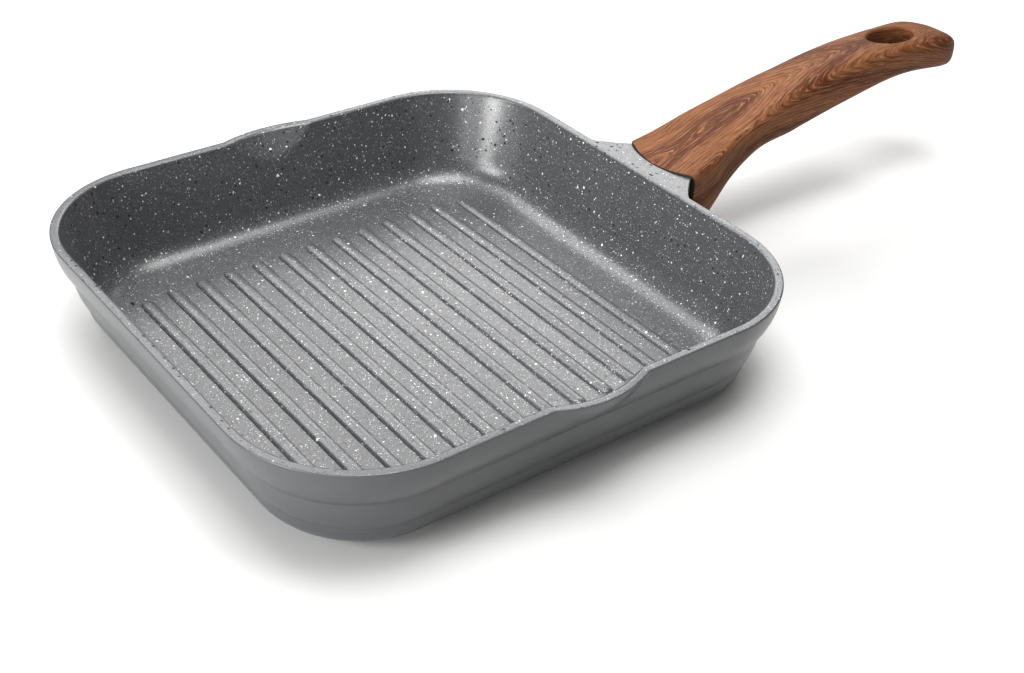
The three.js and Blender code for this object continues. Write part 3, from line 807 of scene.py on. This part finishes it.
class GRILLPAN_OT_fasteners(bpy.types.Operator):
    """Screw with its plain and spring washers, in the well under the handle"""

    bl_idname = "grillpan.fasteners"
    bl_label = "Screw and washers"

    bore = 2.8 * MM

    def execute(self, context):
        centre = np.array([(screw_low.x + screw_high.x) / 2, 0, 0])
        zinc = zinc_plate(context.scene.grillpan_finishes)
        self.screw(centre, zinc)
        self.plain_washer(centre, zinc)
        self.spring_washer(centre, zinc)
        return {"FINISHED"}

    def screw(self, centre, zinc):
        """Pan head with a cross recess, and a shank whose radius follows a helix.

        The head is flat in the middle and then falls off as part of an ellipse.
        """
        around, dome_rings, shank_rings = 96, 25, 120
        pitch, thread, shank_radius, point_radius = 0.8 * MM, 0.45 * MM, 2.5 * MM, 1.7 * MM
        shank_gap, point_length = 0.05 * MM, 0.8 * MM
        crown, flat, stretch, fall, fall_squared = 0.62, 0.45, 1.02, 0.56, 0.32
        slot_half, slot_reach, slot_depth = 0.55 * MM, 2.5 * MM, 1.5 * MM
        slot_side, slot_end = 0.3 * MM, 1.2 * MM
        turn = full_turn(around)
        head_radius = (screw_high.x - screw_low.x) / 2
        under_head = spring_low.z - END_GAP
        reach = steps_to(0, 1, dome_rings)
        fallen = np.clip(reach * stretch - flat, 0, fall) ** 2 / fall_squared
        dome_z = screw_low.z + (under_head - screw_low.z) * crown * (1 - np.sqrt(1 - fallen))
        dome = lathe(np.column_stack([head_radius * reach, dome_z]), turn)
        x, y = np.abs(dome[..., 0]), np.abs(dome[..., 1])
        dome[..., 2] += (slot_depth * smooth_step((slot_half - np.minimum(x, y)) / slot_side + 0.5)
                         * smooth_step((slot_reach - np.maximum(x, y)) / slot_end))
        side = lathe(np.array([[head_radius, under_head], [shank_radius, under_head]]), turn)
        z = np.linspace(under_head + shank_gap, screw_high.z - point_length, shank_rings)[:, None]
        wave = np.abs(((z / pitch - turn / FULL_TURN) % 1) * 2 - 1)
        radius = shank_radius - thread * wave
        shank = triples(radius * np.cos(turn), radius * np.sin(turn), z)
        point = lathe(np.array([[point_radius, screw_high.z]]), turn)
        rings = np.concatenate([dome, side, shank, point])
        rows = numbers(rings)
        tips = np.array([[0, 0, screw_low.z + slot_depth], [0, 0, screw_high.z]])
        points = np.concatenate([rings.reshape(-1, 3), tips]) + centre
        faces = [(ring_band(rows), 0), (caps(rows, rows.size), 0)]
        piece = make_piece("handle_screw_turned", points, faces, [zinc], sharp_angle=40)
        settle(piece, "screw_steel", "handle_screw")

    def plain_washer(self, centre, zinc):
        """Flat ring with broken edges: a closed profile turned round the screw."""
        chamfer, around = 0.12 * MM, 64
        rings = lathe(ring_section(plain_low, plain_high, self.bore, chamfer), full_turn(around))
        rows = numbers(rings)
        faces = [(ring_band(np.vstack([rows, rows[:1]])), 0)]
        points = rings.reshape(-1, 3) + centre
        piece = make_piece("plain_washer_pressed", points, faces, [zinc], sharp_angle=30)
        settle(piece, "screw_steel", "plain_washer")

    def spring_washer(self, centre, zinc):
        """Square wire carried round a turn that stops short at the split, with flat ends."""
        chamfer, split, around = 0.15 * MM, 0.8 * MM, 64
        section = ring_section(spring_low, spring_high, self.bore, chamfer)
        half_split = split / (section[:, 0].max() + self.bore)
        turn = np.linspace(half_split, FULL_TURN - half_split, around)
        rings = lathe(section, turn).swapaxes(0, 1)
        rows = numbers(rings)
        points = np.concatenate([rings.reshape(-1, 3), rings[[0, -1]].mean(axis=1)]) + centre
        ends = np.concatenate([fan(rows[0], rows.size), fan(rows[-1, ::-1], rows.size + 1)])
        faces = [(ring_band(rows)[:, ::-1], 0), (ends, 0)]
        piece = make_piece("spring_washer_split", points, faces, [zinc], sharp_angle=30)
        settle(piece, "screw_steel", "spring_washer")


class GRILLPAN_OT_base(bpy.types.Operator):
    """Induction disc's finish, and the casting's studs that fill its holes"""

    bl_idname = "grillpan.base"
    bl_label = "Base disc and studs"

    def execute(self, context):
        finishes = context.scene.grillpan_finishes
        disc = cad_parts["induction_disc"]
        disc.data.materials.clear()
        disc.data.materials.append(turned_steel(finishes))
        radii, spacing, around = np.array([22, 38, 54, 70]) * MM, 17 * MM, 20
        stud_radius, edge, edge_lift, face_lift = 3.05 * MM, 0.25 * MM, 0.06 * MM, 0.01 * MM
        stud_top = disc_high.z + END_GAP
        counts = np.round(FULL_TURN * radii / spacing).astype(int)
        ring = np.repeat(radii, counts)
        turn = np.concatenate([np.arange(count) * FULL_TURN / count for count in counts])
        centres = triples(ring * np.cos(turn), ring * np.sin(turn), 0.0)
        profile = np.array([
            [stud_radius, stud_top], [stud_radius, edge_lift], [stud_radius - edge, face_lift]])
        one = lathe(profile, full_turn(around))
        points = (centres[:, None, None] + one[None]).reshape(-1, 3)
        rows = numbers(one)
        number = np.arange(len(centres))
        first = number[:, None] * rows.size
        quads = (first[..., None] + ring_band(rows)[None, :, ::-1]).reshape(-1, 4)
        tips = len(points) + number
        tris = np.concatenate([fan(rows[-1, ::-1] + first, tips), fan(rows[0] + first, tips + len(number))])
        points = np.concatenate([points, centres, centres + np.array([0, 0, stud_top])])
        faces = [(quads, 0), (tris, 0)]
        piece = make_piece("base_studs", points, faces, [bare_aluminium(finishes)], sharp_angle=40)
        settle(piece, "coating")
        return {"FINISHED"}


# Finishes


def feed(node, links, values):
    """Sets a node's constants and links the sockets that feed it."""
    for socket, value in values.items():
        node.inputs[socket].default_value = value
    for socket, source in links.items():
        node.id_data.links.new(source, node.inputs[socket])


def add_node(tree, kind, links=None, values=None, output=0, **settings):
    """One node with its settings, constants and links. It gives back one of the node's outputs."""
    node = tree.nodes.new("ShaderNode" + kind)
    for name, value in settings.items():
        setattr(node, name, value)
    feed(node, links or {}, values or {})
    return node.outputs[output] if node.outputs else None


def new_finish(name):
    """An empty node material, its shader, and the function that adds its nodes."""
    material = bpy.data.materials.new(name)
    material.use_nodes = True
    tree = material.node_tree
    tree.nodes.clear()
    node = functools.partial(add_node, tree)
    surface = node("BsdfPrincipled")
    node("OutputMaterial", {"Surface": surface})
    return material, surface.node, node


def rgba(values):
    """A colour with full alpha."""
    return (*values, 1.0)


def fleck_mask(node, place, sizes):
    """Scattered flecks: half the cells of a Voronoi pattern hold a grain of a random size.

    The sizes are a cell's width and a grain's smallest and largest radius, in millimetres.
    """
    cell, smallest, largest = (size * MM for size in sizes)
    empty_share, soft = 0.5, 0.05 * MM
    distance = node("TexVoronoi", {"Vector": place}, {"Scale": 1 / cell})
    chance = node("SeparateColor", {"Color": distance.node.outputs["Color"]})
    radius = node("MapRange", {"Value": chance}, {
        "From Min": empty_share, "From Max": 1.0, "To Min": smallest / cell, "To Max": largest / cell})
    present = node("Math", {0: chance}, {1: empty_share}, operation="GREATER_THAN")
    inside = node("Math", {0: radius, 1: distance}, operation="SUBTRACT")
    mask = node("MapRange", {"Value": inside}, {"From Max": soft / cell})
    return node("Math", {0: mask, 1: present}, operation="MULTIPLY")


def stone_coat(finishes):
    """Sprayed non-stick coating with mineral flecks on cast aluminium.

    The eye gets a satin grey with faint clouds, dense small pale flecks that are denser on the floor,
    where part of them are painted glints, sparser black ones that show most on the walls, and a slight orange
    peel.
    """
    dust_and_glint_sizes, small_pale, large_pale = (0.6, 0.07, 0.21), (1.9, 0.17, 0.4), (6.5, 0.35, 0.68)
    small_dark, large_dark = (0.7, 0.1, 0.28), (3.0, 0.32, 0.78)
    raggedness, dullness, fleck_lift = 0.9 * MM, 0.6, 0.5
    material, shader, node = new_finish("stone_effect_nonstick_coating")
    place = node("TexCoord", output="Object")
    wander = node("TexNoise", {"Vector": place}, {"Scale": 1 / (0.6 * MM), "Detail": 1.0}, "Color")
    offset = node("VectorMath", {0: wander}, {1: (0.5, 0.5, 0.5)}, operation="SUBTRACT")
    ragged = node("VectorMath", {0: offset, 2: place}, {1: (raggedness,) * 3}, operation="MULTIPLY_ADD")
    clouds = node("TexNoise", {"Vector": place}, {"Scale": 1 / (22 * MM), "Detail": 3.0})
    film = node("Mix", {MIX_FACTOR: clouds}, {
        MIX_A: rgba(finishes.coat_dark), MIX_B: rgba(finishes.coat)}, MIX_RESULT, data_type="RGBA")
    # Shares that change between two heights: the floor gets more fine pale flecks, partly painted glints,
    # the rim and the lug catch few pale flecks, and the walls show the large dark grains
    level = node("SeparateXYZ", {"Vector": place}, output="Z")
    dust_and_glint_share, caught, walled = (
        node("MapRange", {"Value": level}, {
            "From Min": low * MM, "From Max": high * MM, "To Min": below, "To Max": above})
        for low, high, below, above in ((6, 12, 1.0, 0.6), (43.6, 44.8, 1.0, 0.6), (6, 12, 0.4, 1.0)))
    # Fine pale flecks, with a larger share on the floor where they are partly painted glints
    fine = node("Math", {0: dust_and_glint_share, 1: fleck_mask(node, ragged, dust_and_glint_sizes)}, operation="MULTIPLY")
    small = node("Math", {0: fine, 1: fleck_mask(node, ragged, small_pale)}, operation="MAXIMUM")
    grains = node("Math", {0: small, 1: fleck_mask(node, ragged, large_pale)}, operation="MAXIMUM")
    pale = node("Math", {0: caught, 1: grains}, operation="MULTIPLY")
    large = node("Math", {0: walled, 1: fleck_mask(node, ragged, large_dark)}, operation="MULTIPLY")
    dark = node("Math", {0: large, 1: fleck_mask(node, ragged, small_dark)}, operation="MAXIMUM")
    for mask, tint in ((pale, finishes.white_fleck), (dark, finishes.black_fleck)):
        film = node("Mix", {MIX_FACTOR: mask, MIX_A: film}, {MIX_B: rgba(tint)}, MIX_RESULT, data_type="RGBA")
    gloss = node("MapRange", {"Value": clouds}, {"To Min": 0.29, "To Max": 0.36})
    # The dark grains are bare mineral, so they are duller than the coat round them
    duller = node("Math", {0: dark, 2: gloss}, {1: dullness}, operation="MULTIPLY_ADD")
    peel = node("TexNoise", {"Vector": place}, {"Scale": 1 / (1.1 * MM), "Detail": 2.0})
    raised = node("Math", {0: pale, 2: peel}, {1: fleck_lift}, operation="MULTIPLY_ADD")
    bump = node("Bump", {"Height": raised}, {"Strength": 0.25, "Distance": 0.06 * MM})
    feed(shader, {"Base Color": film, "Roughness": duller, "Normal": bump}, {"Specular IOR Level": 0.8})
    return material


def wood_film(finishes):
    """Walnut grain printed on a film over moulded phenolic plastic.

    The eye gets a few soft dark flames along the top whose tips point to the tail, lines along the
    sides, fine fibres that follow them, short dark pores, painted glints in pale streaks, painted shade
    that darkens the film towards the tail, and a semi-matt sheen.
    """
    material, shader, node = new_finish("walnut_print_on_phenolic")
    grain = node("Attribute", output="Vector", attribute_name="grain")
    along, across, up = node("SeparateXYZ", {"Vector": grain}).node.outputs
    # Depth into the printed log: its lines rise towards the tail and fall to both sides, so that they
    # meet the handle's top in flames and its sides in long lines
    side_slope, heart_round, wander_depth = 0.9, 1.8 * MM, 3 * MM
    rise = node("MapRange", {"Value": along}, {
        "From Max": 200 * MM, "To Min": 4.3 * MM, "To Max": 44.3 * MM})
    height = node("Math", {0: up, 1: rise}, operation="ADD")
    arms = node("VectorMath", {0: grain}, {
        1: (0.0, side_slope, 0.0), 2: (0.0, 0.0, heart_round)}, operation="MULTIPLY_ADD")
    spread = node("VectorMath", {0: arms}, output="Value", operation="LENGTH")
    depth = node("Math", {0: height, 1: spread}, operation="ADD")
    wander = node("Mapping", {"Vector": grain}, {"Scale": (12.0, 60.0, 60.0)})
    drift = node("TexNoise", {"Vector": wander}, {"Scale": 1.0, "Detail": 3.0, "Roughness": 0.55})
    bent = node("Math", {0: drift, 2: depth}, {1: wander_depth}, operation="MULTIPLY_ADD")

    def bands(spacing, peak, strength):
        """Dark bands at a spacing across the rings: each darkens slowly to its peak and ends sharply."""
        slow_end, slow_share = 0.45, 0.06
        count = node("Math", {0: bent}, {1: 1 / spacing}, operation="MULTIPLY")
        ramp = node("ValToRGB", {"Fac": node("Math", {0: count}, operation="FRACT")})
        stops = ramp.node.color_ramp.elements
        stops[0].color = stops[1].color = rgba((0.0, 0.0, 0.0))
        stops.new(slow_end).color = rgba((slow_share * strength,) * 3)
        stops.new(peak).color = rgba((strength,) * 3)
        return ramp

    def streaks(long, fine, detail):
        """Noise drawn out along the grain: its size along the handle and across the rings."""
        sideways = 8 * fine
        place = node("CombineXYZ", {
            axis: node("Math", {0: value}, {1: 1 / size}, operation="MULTIPLY")
            for axis, value, size in (("X", along, long), ("Y", bent, fine), ("Z", across, sideways))})
        return node("TexNoise", {"Vector": place}, {"Scale": 1.0, "Detail": detail, "Roughness": 0.6})

    flames = bands(spacing=16 * MM, peak=0.82, strength=0.6)
    rings = bands(spacing=1.7 * MM, peak=0.75, strength=0.35)
    # The real fibres are finer than a picture shows, so they are drawn at 0.5 mm
    fibre = streaks(long=14 * MM, fine=0.5 * MM, detail=3.0)
    pores = streaks(long=7 * MM, fine=0.4 * MM, detail=1.0)
    # Painted glints: pale streaks in the colour that stand for light caught by the grain's emboss
    painted_glints = streaks(long=9 * MM, fine=0.34 * MM, detail=1.0)
    lines = node("MapRange", {"Value": fibre}, {"From Min": 0.3, "From Max": 0.7, "To Max": 0.75})
    ringed = node("Math", {0: rings, 1: flames}, operation="ADD")
    late = node("Math", {0: lines, 1: ringed}, operation="ADD", use_clamp=True)
    film = node("Mix", {MIX_FACTOR: late}, {
        MIX_A: rgba(finishes.wood_light), MIX_B: rgba(finishes.wood_dark)}, MIX_RESULT, data_type="RGBA")
    # Layers over that: what each follows, the values it rises between, its strength and its tint. The
    # first is painted shade that darkens the film towards the tail, and the last is the painted glints
    layers = [(along, 70 * MM, 190 * MM, 0.3, finishes.wood_dark),
              (pores, 0.6, 0.7, 0.55, finishes.wood_pore), (painted_glints, 0.55, 0.72, 0.55, finishes.painted_wood_glint)]
    for value, low, high, strength, tint in layers:
        mask = node("MapRange", {"Value": value}, {"From Min": low, "From Max": high, "To Max": strength})
        film = node("Mix", {MIX_FACTOR: mask, MIX_A: film}, {MIX_B: rgba(tint)}, MIX_RESULT, data_type="RGBA")
    gloss = node("MapRange", {"Value": fibre}, {"To Min": 0.5, "To Max": 0.68})
    bump = node("Bump", {"Height": fibre}, {"Strength": 0.6, "Distance": 0.15 * MM})
    feed(shader, {"Base Color": film, "Roughness": gloss, "Normal": bump}, {"Specular IOR Level": 0.1})
    return material


def patterned(shader, node, pattern, tint, shade, gloss):
    """Feeds a shader from a pattern: its tint comes up from a shade of itself as its roughness rises.

    Without a gloss, the roughness is left alone.
    """
    darker = tuple(shade * channel for channel in tint)
    film = node("Mix", {MIX_FACTOR: pattern}, {
        MIX_A: rgba(darker), MIX_B: rgba(tint)}, MIX_RESULT, data_type="RGBA")
    feed(shader, {"Base Color": film}, {})
    if gloss:
        rough = node("MapRange", {"Value": pattern}, {"To Min": gloss[0], "To Max": gloss[1]})
        feed(shader, {"Roughness": rough}, {})


def clouded(name, tint, cloud, detail, shade, gloss=None):
    """A finish whose tint and gloss vary in soft clouds of a size, and what it takes to add to it."""
    material, shader, node = new_finish(name)
    place = node("TexCoord", output="Object")
    clouds = node("TexNoise", {"Vector": place}, {"Scale": 1 / cloud, "Detail": detail})
    patterned(shader, node, clouds, tint, shade, gloss)
    return material, shader, node, place


def satin_paint(finishes):
    """Heat-proof silicone paint sprayed on the casting's outside.

    The eye gets an even satin grey with a broad soft sheen and a faint orange peel.
    """
    material, shader, node, place = clouded(
        "satin_silicone_paint", finishes.outside, cloud=30 * MM, detail=2.0, shade=0.93, gloss=(0.28, 0.33))
    peel = node("TexNoise", {"Vector": place}, {"Scale": 1 / (1.4 * MM), "Detail": 2.0})
    bump = node("Bump", {"Height": peel}, {"Strength": 0.08, "Distance": 0.03 * MM})
    feed(shader, {"Normal": bump}, {})
    return material


def bare_phenolic(finishes):
    """Unprinted phenolic plastic inside the socket and the screw's well: dark, with a faint mould grain."""
    material, *_ = clouded(
        "bare_phenolic_plastic", finishes.phenolic, cloud=1.2 * MM, detail=3.0, shade=0.7, gloss=(0.5, 0.65))
    return material


def zinc_plate(finishes):
    """Bright zinc plating on steel: cool, fairly glossy, with a faint cloudiness."""
    material, shader, *_ = clouded(
        "bright_zinc_plate", finishes.zinc, cloud=1.5 * MM, detail=3.0, shade=0.82, gloss=(0.22, 0.38))
    feed(shader, {}, {"Metallic": 1.0})
    return material


def turned_metal(name, tint, ring_width, gloss):
    """Metal with fine rings left by turning: noise on the distance from the middle."""
    shade = 0.8
    material, shader, node = new_finish(name)
    place = node("TexCoord", output="Object")
    flat = node("VectorMath", {0: place}, {1: (1.0, 1.0, 0.0)}, operation="MULTIPLY")
    distance = node("VectorMath", {0: flat}, output="Value", operation="LENGTH")
    rings = node("TexNoise", {"W": distance}, {
        "Scale": 1 / ring_width, "Detail": 4.0, "Roughness": 0.7}, noise_dimensions="1D")
    patterned(shader, node, rings, tint, shade, gloss)
    bump = node("Bump", {"Height": rings}, {"Strength": 0.3, "Distance": 0.03 * MM})
    feed(shader, {"Normal": bump}, {"Metallic": 1.0})
    return material


def turned_steel(finishes):
    """Ferritic stainless steel, faced on a lathe: bright rings that break up the shine."""
    return turned_metal("turned_stainless_steel", finishes.steel, ring_width=0.5 * MM, gloss=(0.25, 0.45))


def bare_aluminium(finishes):
    """Cast aluminium faced with the disc: paler and duller than the steel round it."""
    return turned_metal("faced_cast_aluminium", finishes.aluminium, ring_width=0.7 * MM, gloss=(0.4, 0.6))


def matt_paper(stage):
    """Background paper: matt and nearly white, with a very faint tooth."""
    material, shader, *_ = clouded("matt_background_paper", stage.paper, cloud=4 * MM, detail=2.0, shade=0.99)
    feed(shader, {}, {"Roughness": 0.9, "Specular IOR Level": 0.1})
    return material


# Stage

# Name, azimuth and elevation in degrees, distance, width and height in metres, and power in watts
SOFT_BOXES = [
    ("overhead_box", 0, 89, 1.5, 0.9, 0.9, 16.7),
    ("front_right_box", -40, 74, 1.45, 0.7, 0.7, 8.0),
    ("front_left_box", -140, 74, 1.45, 0.7, 0.7, 4.3),
    ("back_left_panel", 90, 46, 1.4, 0.85, 0.7, 10.4),
    ("back_box", 46, 30, 1.35, 0.8, 0.6, 7.4),
    ("left_box", 176, 26, 1.3, 0.6, 0.35, 11.0),
    ("left_low_box", 190, 8, 1.3, 0.3, 0.3, 9.4),
    ("left_front_box", 218, 8, 1.3, 0.25, 0.3, 2.6),
]


def soft_box(name, turn, lift, far, width, height, power):
    """A rectangular studio light that faces the middle of the pan and its handle."""
    aim = Vector((0.04, 0.0, 0.03))
    a, e = math.radians(turn), math.radians(lift)
    away = Vector((math.cos(a) * math.cos(e), math.sin(a) * math.cos(e), math.sin(e)))
    lamp = bpy.data.lights.new(name, "AREA")
    lamp.shape = "RECTANGLE"
    lamp.size, lamp.size_y, lamp.energy = width, height, power
    box = bpy.data.objects.new(name, lamp)
    box.location = aim + far * away
    box.rotation_euler = away.to_track_quat("Z", "Y").to_euler()
    bpy.context.scene.collection.objects.link(box)


class GRILLPAN_OT_stage(bpy.types.Operator):
    """Pale floor, soft lights and the camera"""

    bl_idname = "grillpan.stage"
    bl_label = "Stage"

    def execute(self, context):
        scene, stage = context.scene, context.scene.grillpan_stage
        a, e, roll = stage.camera_azimuth, stage.camera_elevation, stage.camera_roll
        back = Vector((math.sin(a) * math.cos(e), -math.cos(a) * math.cos(e), math.sin(e)))
        level = Vector((math.cos(a), math.sin(a), 0))
        upright = back.cross(level)
        right = level * math.cos(roll) + upright * math.sin(roll)
        up = upright * math.cos(roll) - level * math.sin(roll)
        lens = bpy.data.cameras.new("photo_camera")
        lens.sensor_width, lens.lens = 36.0, stage.camera_lens
        lens.clip_start, lens.clip_end = 0.01, 50.0
        camera = bpy.data.objects.new("photo_camera", lens)
        turn = Matrix((right, up, back)).transposed().to_4x4()
        camera.matrix_world = Matrix.Translation(stage.camera_place) @ turn
        scene.collection.objects.link(camera)
        scene.camera = camera

        half, lines, floor_z, air = stage.floor_size / 2, 13, -0.2 * MM, 0.09
        x, y = np.meshgrid(*[np.linspace(-half, half, lines)] * 2, indexing="ij")
        sheet = triples(x, y, floor_z)
        faces = [(open_sheet(numbers(sheet)), 0)]
        floor = make_piece("studio_floor", sheet.reshape(-1, 3), faces, [matt_paper(stage)])

        for light in SOFT_BOXES:
            soft_box(*light)
        world = bpy.data.worlds.new("studio_air")
        world.use_nodes = True
        feed(world.node_tree.nodes["Background"], {}, {"Color": rgba(linear("#ffffff")), "Strength": air})
        scene.world = world
        scene.view_settings.view_transform = "Standard"
        return {"FINISHED"}


class GRILLPAN_PT_sidebar(bpy.types.Panel):
    """The pan's pieces and sizes in the sidebar"""

    bl_idname = "GRILLPAN_PT_sidebar"
    bl_label = "Square grill pan"
    bl_space_type = "VIEW_3D"
    bl_region_type = "UI"
    bl_category = "Grill pan"

    def draw(self, context):
        for step in steps:
            self.layout.operator(step.bl_idname)
        for group_name, group in groups.items():
            box = self.layout.box()
            for name in group.__annotations__:
                box.prop(getattr(context.scene, group_name), name)


groups = {
    "grillpan_body": GrillPanBody,
    "grillpan_handle": GrillPanHandle,
    "grillpan_finishes": GrillPanFinishes,
    "grillpan_stage": GrillPanStage,
}
steps = [GRILLPAN_OT_stage, GRILLPAN_OT_body, GRILLPAN_OT_handle, GRILLPAN_OT_fasteners, GRILLPAN_OT_base]


def register():
    """Adds the classes, and the property groups on the scene."""
    for part in [*groups.values(), *steps, GRILLPAN_PT_sidebar]:
        bpy.utils.register_class(part)
    for name, group in groups.items():
        setattr(bpy.types.Scene, name, bpy.props.PointerProperty(type=group))


def unregister():
    """Takes the property groups and the classes away again."""
    for name in groups:
        delattr(bpy.types.Scene, name)
    for part in [GRILLPAN_PT_sidebar, *reversed(steps), *reversed(groups.values())]:
        bpy.utils.unregister_class(part)


def main():
    """Builds the pan step by step."""
    register()
    for step in steps:
        prefix, name = step.bl_idname.split(".")
        getattr(getattr(bpy.ops, prefix), name)()


if __name__ == "__main__":
    main()
